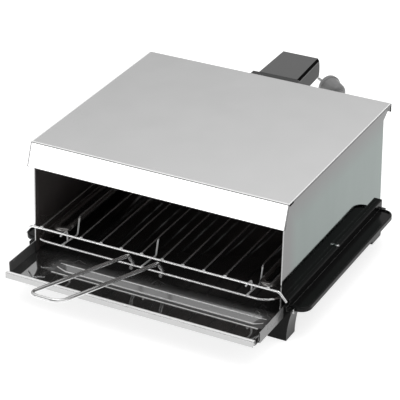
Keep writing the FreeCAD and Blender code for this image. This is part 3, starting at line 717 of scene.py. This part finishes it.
def add_strain_relief():
    fall = (RELIEF_BASE - RELIEF_TIP) / RELIEF_LENGTH
    rim = RELIEF_BASE - fall * RIB_START + RIB_STAND
    foot = rim - RIB_STAND * 2
    rib = [(0, foot), (0, rim - RIB_SOFT), (RIB_SOFT, rim), (RIB_WIDTH - RIB_SOFT, rim),
           (RIB_WIDTH, rim - RIB_SOFT), (RIB_WIDTH, foot)]
    bm = bmesh.new()
    turned(bm, rib, NOWHERE, BACKWARD, 36)
    first = OUTLET + Vector((0, RIB_START, 0))
    ribs = grown("sleeve_ribs", row, mesh_of("rib", bm), count=RIBS, first=tuple(first),
                 step=(0, RIB_PITCH, 0), taper=fall * RIB_PITCH / rim, material=rubber, **NO_GAP)
    taper = [(0, 2.0 * MM), (0, RELIEF_BASE), (RELIEF_LENGTH - 0.6 * MM, RELIEF_TIP),
             (RELIEF_LENGTH, RELIEF_TIP - 0.5 * MM), (RELIEF_LENGTH, CORD / 2 - 0.2 * MM)]
    bm = bmesh.new()
    turned(bm, taper, OUTLET, BACKWARD, 36)
    core = mesh_of("sleeve_core", bm, [rubber])
    bm = bmesh.new()
    bm.from_mesh(ribs)
    bm.from_mesh(core)
    mesh = mesh_of("cord_sleeve", bm, [rubber])
    return piece("cord_sleeve", mesh, "grill", ["strain_relief"], 50)


sleeve = add_strain_relief()

# %% [markdown]
# ## Dressing a construction piece
# Where the construction model already has the right shape, a copy of it is dressed. The copy is merged into
# a clean skin, flat facets are joined, faces are smoothed except across real edges, and a tiny bevel gives
# each edge the thin highlight that real sheet and real mouldings have. Where faces are split into strips
# first, the normals are weighted by area, so that flat sheet stays a flat mirror.

# %% Dressing


def dressed(node, name, materials, bevel=0.0, choose=None, sharp=32, refine=None, edge=-1):
    source = frame["nodes"][node]
    bm = bmesh.new()
    bm.from_mesh(source.data)
    bmesh.ops.remove_doubles(bm, verts=bm.verts, dist=0.002 * MM)
    bmesh.ops.dissolve_limit(bm, angle_limit=math.radians(0.4), verts=bm.verts, edges=bm.edges)
    if refine:
        refine(bm)
    mesh = bpy.data.meshes.new(name)
    bm.to_mesh(mesh)
    bm.free()
    for material in materials:
        mesh.materials.append(material)
    if choose:
        for face in mesh.polygons:
            face.material_index = choose(face.center, face.normal)
    obj = piece(name, mesh, source["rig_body"], [node], sharp)
    if bevel:
        rounding = obj.modifiers.new("edge", "BEVEL")
        rounding.material = edge
        rounding.width = bevel
        rounding.segments = 2
        rounding.limit_method = "ANGLE"
        rounding.angle_limit = math.radians(40)
        rounding.use_clamp_overlap = True
        rounding.harden_normals = True
    if refine:
        evened = obj.modifiers.new("even", "WEIGHTED_NORMAL")
        evened.keep_sharp = True
    return obj


# %% [markdown]
# ## Hood
# The hood is four pieces of folded sheet. Its outside is polished and its inside is painted dark, a painted
# shade, so each face is given a finish by the way it looks. A panel's front edge has a painted highlight in
# mid grey. The back mirrors the table as the side panels do, so it has their darker colour, a painted shade.
# The top's long edges have a nearly white painted highlight, the front bend has a painted dark line under it,
# and the narrow face under the side edges lies in the shade of the overhang. At the front corners a notch is
# cut before folding, so that the sheet doesn't tear; it isn't modelled, and its shade is painted black on the
# side return. The fascia's bottom edge and the returns' front ends take the side panels' painted shade. These
# strips are a millimetre or two wide, so the flat faces are split along planes first.

# %% Hood
SHEET_EDGE = 0.18 * MM
OUTSIDE, INSIDE, EDGE, BEND, NOTCH_SHADE, SIDE, SHADED = range(7)
NOTCH = 12 * MM
NOTCH_FOOT = 170 * MM
FASCIA_DEPTH = 20 * MM
UNDERSIDE = 165 * MM
TOP_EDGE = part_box("hood_top")[1][0] - 1.7 * MM
TOP_FRONT = FRONT + 2.6 * MM
HEM_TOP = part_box("hood_top")[0][2] + 1.2 * MM
SHADE_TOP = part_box("hood_top")[1][2] - 2.4 * MM


def split(bm, axis, places):
    """Cut faces where a plane crosses them, so that a strip can have its own finish. The shape stays."""
    normal = Vector((axis == "X", axis == "Y", axis == "Z"))
    for place in places:
        everything = list(bm.verts) + list(bm.edges) + list(bm.faces)
        bmesh.ops.bisect_plane(bm, geom=everything, plane_co=normal * place, plane_no=normal)


def split_top(bm):
    split(bm, "X", (-TOP_EDGE, TOP_EDGE))
    split(bm, "Y", (TOP_FRONT, FRONT + NOTCH))
    split(bm, "Z", (HEM_TOP, SHADE_TOP))


def top_side(centre, normal):
    under = normal.z < -0.3 and centre.z > UNDERSIDE
    behind = normal.y > 0.5 and centre.y < FRONT + FASCIA_DEPTH
    if under or behind:
        return INSIDE
    if normal.y > 0.5:
        return SIDE
    if abs(normal.x) > 0.9:
        # The corner patch is painted shade where the notch would show.
        near_corner = centre.y < FRONT + NOTCH and centre.z > NOTCH_FOOT
        return NOTCH_SHADE if near_corner else SHADED if centre.z > SHADE_TOP else SIDE
    # The fascia's bottom edge and the returns' front ends take the side panels' painted shade; BEND is a
    # painted dark line, EDGE a painted highlight.
    if normal.y < -0.9:
        return SIDE if abs(centre.x) > TOP_EDGE or centre.z < HEM_TOP else OUTSIDE
    if 0.45 < -normal.y:
        return BEND
    return EDGE if centre.y < TOP_FRONT or abs(centre.x) > TOP_EDGE and normal.z > 0.5 else OUTSIDE


# On the panels, EDGE is a painted highlight on the front edge and INSIDE is painted shade.
def right_side(centre, normal):
    return INSIDE if normal.x < -0.5 else EDGE if normal.y < -0.5 else OUTSIDE


def left_side(centre, normal):
    return INSIDE if normal.x > 0.5 else EDGE if normal.y < -0.5 else OUTSIDE


def back_side(centre, normal):
    return OUTSIDE if normal.y > 0.5 else INSIDE


PANEL = [shaded_side_steel, shaded_inner_steel, edge_line_steel]
TOP = [top_steel, shaded_inner_steel, bright_fold, edge_line_steel, painted_shade_black, shaded_side_steel, shaded_fold]
hood_skins = [
    dressed("hood_top", "hood_skin", TOP, SHEET_EDGE, top_side, refine=split_top),
    dressed("hood_side_right", "hood_panel_right", PANEL, SHEET_EDGE, right_side),
    dressed("hood_side_left", "hood_panel_left", PANEL, SHEET_EDGE, left_side),
    dressed("hood_back", "hood_panel_back", PANEL[:2], SHEET_EDGE, back_side)]
print("hood", sum(len(o.data.polygons) for o in hood_skins), "faces")

# %% [markdown]
# ## Side frames, rails and rear housing
# The frames and the housing are mouldings with soft edges, half a millimetre round. The frames' bevelled
# edges are painted paler than the faces, a painted highlight. The housing's lid has a long slant on both
# sides, and the slants are painted black, a painted shade along the lid.

# %% Frames, rails, housing
for side in ("right", "left"):
    dressed("side_frame_" + side, "moulded_frame_" + side, [black_gloss, black_edge],
            0.5 * MM, edge=1)
    dressed("rack_rail_" + side, "rail_strip_" + side, [shaded_inner_steel], SHEET_EDGE)
dressed("terminal_cover", "moulded_cover", [shell_grey], 0.4 * MM)
dressed("housing_shell", "head_shell", [shell_grey], 0.5 * MM)


def lid_face(centre, normal):
    """One on the slants, else nought."""
    return 1 if abs(normal.x) > 0.4 and normal.z > 0.1 else 0


# The slants are painted black, a painted shade along the lid.
dressed("housing_lid", "head_lid", [lid_grey, painted_shade_black], 0.15 * MM, lid_face)

# %% [markdown]
# ## Element
# The element is a steel tube with the heating wire packed inside it. It is bent cold, so its bends are round
# and even, and the construction model already has them.

# %% Element
dressed("heating_element", "heating_tube", [sheath])
dressed("element_bushes", "ceramic_bushes", [ceramic], 0.3 * MM)
dressed("element_pins", "terminal_pins", [zinc], 0.2 * MM)

# %% [markdown]
# ## Wire rack
# The rack is the piece that follows a rule: twelve places a pitch apart, ten straight rods and two that are
# bent down into legs. A cut rod is tumbled before it is welded, so its ends are round. One rod is turned with
# round ends and the row repeats it, at the pitch that the construction model gives. The rods under the hood
# have a darker, duller chrome, a painted shade, and the legs, which stand out of the hood, have a nearly
# white chrome up to their bend, a painted light.

# %% Grate rods
ROD_PLACES = 12
ROD_LOW, ROD_HIGH = (Vector(corner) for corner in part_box("rack_rods"))
ROD = (ROD_HIGH.z - ROD_LOW.z) / 2
ROD_PITCH = (ROD_HIGH.x - ROD_LOW.x - 2 * ROD) / (ROD_PLACES - 1)
ROD_HEIGHT = ROD_LOW.z + ROD


def add_rods():
    length = ROD_HIGH.y - ROD_LOW.y
    cap = [(ROD * (1 - math.cos(a)), ROD * math.sin(a)) for a in (0.35, 0.75, 1.15, math.pi / 2)]
    stations = cap + [(length - along, radius) for along, radius in reversed(cap)]
    bm = bmesh.new()
    turned(bm, stations, NOWHERE, BACKWARD, 16)
    first = (ROD_LOW.x + ROD, ROD_LOW.y, ROD_HEIGHT)
    mesh = grown("grate_rods", row, mesh_of("rod", bm), count=ROD_PLACES, first=first, step=(ROD_PITCH, 0, 0),
                 gap_a=1, gap_b=ROD_PLACES - 2, taper=0.0, material=rod_painted_shade)
    return piece("grate_rods", mesh, "rack", ["rack_rods"], 50)


rods = add_rods()
WIRE_EDGE = 0.25 * MM
WIRES = (("rack_front_wire", "front_wire", chrome), ("rack_lower_frame", "lower_wire", chrome),
         ("rack_rear_wire", "rear_wire", chrome), ("rack_middle_leg", "middle_leg", leg_painted_light),
         ("rack_hooks", "wire_hooks", leg_painted_light), ("rack_handle", "wire_handle", handle_chrome))
for node, name, finish in WIRES:
    dressed(node, name, [finish], WIRE_EDGE)


# The leg below the grate takes the painted-light chrome, the rod above it the painted-shade chrome.
def leg_part(centre, normal):
    """Nought on the leg, one on the rod behind its bend."""
    return 0 if centre.z < ROD_LOW.z - ROD else 1


dressed("rack_leg_rods", "leg_rods", [leg_painted_light, rod_painted_shade], WIRE_EDGE, leg_part)
print("rod pitch", round(ROD_PITCH / MM, 2), "mm")

# %% [markdown]
# ### Set out on points
# Weld beads and screws don't lie on one line, so the next tree takes points. Each point carries the way its
# copy looks, as an attribute called aim, and the tree turns the copy's upright axis that way. Then it spins
# the copy by a random angle and makes it a little larger or smaller, because no two beads are alike.

# %% Points and stamp tree


def points_mesh(name, places, aims):
    mesh = bpy.data.meshes.new(name)
    mesh.from_pydata(places, [], [])
    attribute = mesh.attributes.new("aim", "FLOAT_VECTOR", "POINT")
    for item, aim in zip(attribute.data, aims):
        item.vector = aim
    return mesh


def set_out(rule, shape, spin):
    """Copies of a shape on the incoming points, turned to their aims."""
    aim = rule.add("GeometryNodeInputNamedAttribute", {"data_type": "FLOAT_VECTOR"}, {"Name": "aim"})
    facing = rule.add("FunctionNodeAlignRotationToVector", {"axis": "Z"}, {"Vector": aim})
    turn = rule.add("FunctionNodeAxisAngleToRotation", {},
                    {"Axis": (0, 0, 1), "Angle": rule.chance(-spin, spin)})
    way = rule.add("FunctionNodeRotateRotation", {"rotation_space": "LOCAL"},
                   {"Rotation": facing, "Rotate By": turn})
    uneven = rule.size("Unevenness")
    return rule.add("GeometryNodeInstanceOnPoints", {},
                    {"Points": rule.size("Geometry"), "Instance": shape, "Rotation": way,
                     "Scale": rule.chance(1 - uneven, 1 + uneven)})


def bead_tree():
    rule = Repeat("weld_beads", {"Width": "Float", "Length": "Float", "Height": "Float",
                                 "Unevenness": "Float", "Seed": "Int"})
    ball = rule.add("GeometryNodeMeshIcoSphere", {}, {"Radius": 0.5, "Subdivisions": 3})
    size = rule.add("ShaderNodeCombineXYZ", {}, {"X": rule.size("Width"), "Y": rule.size("Length"),
                                                 "Z": rule.size("Height")})
    bead = rule.add("GeometryNodeTransform", {}, {"Geometry": ball, "Scale": size})
    return rule.close(set_out(rule, bead, 0.25))


# %% [markdown]
# ### Weld beads
# Each rod is pressed onto the cross wires and welded by a current, which squeezes out a small collar of
# metal. There is one wherever a straight rod crosses the front wire, one at each of the twelve places on the
# rear wire, and one under each of the three legs.

# %% Weld beads
FRONT_WIRE = FRONT - 17 * MM
REAR_WIRE = FRONT + 273 * MM
LOWER_WIRE = FRONT - 14 * MM
LEGS = (-134.5 * MM, -15.5 * MM, 135.9 * MM)
SEAM = ROD_LOW.z + 0.5 * MM
FOOT_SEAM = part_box("rack_lower_frame")[0][2] + 3.3 * MM
LEG_NUMBERS = (1, ROD_PLACES - 2)


def add_weld_beads():
    places = []
    for number in range(ROD_PLACES):
        x = ROD_LOW.x + ROD + ROD_PITCH * number
        if number not in LEG_NUMBERS:
            places.append((x, FRONT_WIRE, SEAM))
        places.append((x, REAR_WIRE, SEAM))
    places += [(x, LOWER_WIRE, FOOT_SEAM) for x in LEGS]
    points = points_mesh("crossings", places, [(0, 0, 1)] * len(places))
    mesh = grown("weld_beads", bead_tree(), points, width=4.4 * MM, length=4.0 * MM, height=3.4 * MM,
                 unevenness=0.12, seed=4, material=weld)
    return piece("weld_beads", mesh, "rack", (), 60)


beads = add_weld_beads()

# %% [markdown]
# ### Screws
# A pan-head screw has a domed head with a cross recess. The head is turned, the tree cuts the recess with two
# small blocks and sets the heads out, and every recess stops at a different angle, as after tightening.

# %% Screws
HEAD_STATIONS = [(-4.0, 1.0), (-4.0, 1.45), (0.0, 1.45), (0.0, 2.9), (0.25, 3.0), (0.7, 2.85), (1.1, 2.4),
                 (1.42, 1.6), (1.58, 0.8)]
HEAD_TOP = 1.58 * MM
RECESS = {"recess_length": 3.4 * MM, "recess_width": 0.8 * MM, "recess_depth": 1.0 * MM}
RIDGE_SCREW = Vector((183.5 * MM, FRONT + 150.6 * MM, 56.3 * MM))
COLUMN_SCREW = Vector((192.5 * MM, FRONT, 41.6 * MM))
COVER_SCREWS = [Vector((24 * MM, COVER_BACK, height)) for height in (92 * MM, 138 * MM)]


def screw_tree():
    rule = Repeat("screws", {"Head": "Object", "Recess Length": "Float", "Recess Width": "Float",
                             "Recess Depth": "Float", "Top": "Float", "Unevenness": "Float", "Seed": "Int"})
    head = rule.add("GeometryNodeObjectInfo", {}, {"Object": rule.size("Head")}, "Geometry")
    deep = rule.size("Recess Depth") * 2
    place = rule.add("ShaderNodeCombineXYZ", {}, {"Z": rule.size("Top")})
    cut = rule.tree.nodes.new("GeometryNodeMeshBoolean")
    cut.operation = "DIFFERENCE"
    cut.solver = "EXACT"
    connect(rule.tree, head, cut.inputs["Mesh 1"])
    for x, y in (("Recess Length", "Recess Width"), ("Recess Width", "Recess Length")):
        size = rule.add("ShaderNodeCombineXYZ", {}, {"X": rule.size(x), "Y": rule.size(y), "Z": deep})
        bar = rule.add("GeometryNodeMeshCube", {}, {"Size": size})
        moved = rule.add("GeometryNodeTransform", {}, {"Geometry": bar, "Translation": place})
        connect(rule.tree, moved, cut.inputs["Mesh 2"])
    return rule.close(set_out(rule, Flow(rule.tree, cut.outputs["Mesh"]), math.pi))


def add_screws(name, node, places, aims, seed):
    bm = bmesh.new()
    turned(bm, [(a * MM, r * MM) for a, r in HEAD_STATIONS], NOWHERE, UPWARD, 24)
    head = bpy.data.objects.new("screw_head", mesh_of("screw_head", bm))
    bpy.context.scene.collection.objects.link(head)
    mesh = grown(name, screw_tree(), points_mesh(name, places, aims), head=head, top=HEAD_TOP,
                 unevenness=0.0, seed=seed, material=zinc, **RECESS)
    bpy.data.objects.remove(head)
    return piece(name, mesh, "grill", [node])


def both_sides(place):
    return [place, Vector((-place.x, place.y, place.z))]


frame_places = both_sides(RIDGE_SCREW) + both_sides(COLUMN_SCREW)
frame_aims = [(0, 0, 1), (0, 0, 1), (1, 0, 0), (-1, 0, 0)]
frame_screws = add_screws("frame_screw_heads", "frame_screws", frame_places, frame_aims, 7)
cover_places = [place for screw in COVER_SCREWS for place in both_sides(screw)]
cover_screws = add_screws("cover_screw_heads", "cover_screws", cover_places, [(0, 1, 0)] * 4, 9)

# %% [markdown]
# ## Drip drawer
# The drawer is one pressed sheet: walls, a folded lip and a long basin near its front, where fat collects.
# Its floor is nearly a mirror, so the dark hood above makes it look dark, and only the slopes of the basin
# catch the light; under the hood it is also painted dark, a painted shade. The strips along the basin's folds
# and the top of the lip have a painted highlight, the lip is painted lighter than the floor, a painted
# reflection, and the walls have a duller grey painted to the light on them.

# %% Drawer
SHEET, STRIP, LIP, WALL, LIP_TOP = range(5)
LIP_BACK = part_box("drawer_tray")[0][1] + 4.9 * MM
BASIN_ENDS = (BASIN_MIDDLE - BASIN_HALF, BASIN_MIDDLE + BASIN_HALF)
BASIN_FOLDS = ((-46.0, -44.0), (-31.7, -29.4), (-22.0, -20.5))
HIGHLIGHT_STRIPS = [(FRONT + low * MM, FRONT + high * MM) for low, high in BASIN_FOLDS]


def split_basin(bm):
    split(bm, "X", BASIN_ENDS)
    split(bm, "Y", [y for strip in HIGHLIGHT_STRIPS for y in strip])


# STRIP and LIP_TOP carry painted highlights.
def drawer_face(centre, normal):
    if centre.y < LIP_BACK:
        return LIP_TOP if normal.z > 0.6 else LIP
    if abs(normal.x) > 0.9:
        return WALL
    along = BASIN_ENDS[0] < centre.x < BASIN_ENDS[1] and normal.z > 0.5
    return STRIP if along and any(low < centre.y < high for low, high in HIGHLIGHT_STRIPS) else SHEET


DRAWER = [drawer_steel, basin_fold_highlight, lip_painted_light, drawer_wall, bright_fold]
dressed("drawer_tray", "drip_drawer", DRAWER, SHEET_EDGE, drawer_face, 14, split_basin)

# %% [markdown]
# ## Table
# The photograph shows almost no shadow. That is what a sheet of opal acrylic does, lit from below: it glows
# a little itself and fills the shadow in. A weak emission on a pale matt table does the same.

# %% Table
TABLE_GLOW = 0.75
TABLE_REACH = 12.0


def add_table():
    finish = Finish("table", {"Roughness": 0.6, "Specular IOR Level": 0.2, "Emission Color": grey(1.0),
                              "Emission Strength": TABLE_GLOW})
    finish.feed(base_color=finish.between(finish.noise(0.5, 2.0), grey(0.54), grey(0.55)))
    mesh = bpy.data.meshes.new("table")
    corners = [(x * TABLE_REACH, y * TABLE_REACH, 0) for x, y in ((-1, -1), (1, -1), (1, 1), (-1, 1))]
    mesh.from_pydata(corners, [], [(0, 1, 2, 3)])
    mesh.materials.append(finish.material)
    table = bpy.data.objects.new("table", mesh)
    bpy.context.scene.collection.objects.link(table)


add_table()

# %% [markdown]
# ## Light
# Polished metal shows the room, so the room is lit for it. The dome is a soft grey that grows lighter with
# height, because the hood's top mirrors it from the horizon upwards. It is dark in front, which draws the
# dark lines along the chromed wire, and a little darker on the left. A wide softbox hangs over the grill,
# and a second one stands low in front on the left, where the leaning fascia mirrors it.

# %% Light
SKY = [(0.30, grey(0.52)), (0.41, grey(0.58)), (0.475, grey(0.77)), (0.95, grey(1.25))]
FRONT_SHADE = [(0.14, grey(0.14)), (0.42, grey(1.0))]
SIDE_SHADE = [(0.24, grey(0.92)), (0.36, grey(1.07))]


def add_dome():
    world = bpy.data.worlds.new("dome")
    bpy.context.scene.world = world
    world.use_nodes = True
    room = Network(world.node_tree)
    way = room.add("ShaderNodeTexCoord", {}, {}, "Generated")
    height = room.add("ShaderNodeSeparateXYZ", {}, {0: way}, "Z")
    colour = room.ramp(height, SKY)
    for axis, shade in (("Y", FRONT_SHADE), ("X", SIDE_SHADE)):
        part = room.add("ShaderNodeSeparateXYZ", {}, {0: way}, axis)
        colour = room.add("ShaderNodeMix", {"data_type": "RGBA", "blend_type": "MULTIPLY"},
                          {0: 1.0, 6: colour, 7: room.ramp(part * 0.5 + 0.5, shade)}, 2)
    connect(room.tree, colour, room.tree.nodes["Background"].inputs["Color"])


def add_softbox(name, place, aim, size, power):
    data = bpy.data.lights.new(name, "AREA")
    data.shape = "RECTANGLE"
    data.size, data.size_y = size
    data.energy = power
    lamp = bpy.data.objects.new(name, data)
    facing = (aim - place).to_track_quat("-Z", "Y").to_matrix().to_4x4()
    lamp.matrix_world = Matrix.Translation(place) @ facing
    bpy.context.scene.collection.objects.link(lamp)


add_dome()
TARGET = Vector((0, 0, 0.1))
add_softbox("over", Vector((0.4, 0.2, 2.6)), TARGET, (1.4, 1.4), 8)
add_softbox("front_left", Vector((-1.05, -2.3, 0.62)), TARGET, (1.5, 0.5), 5.5)
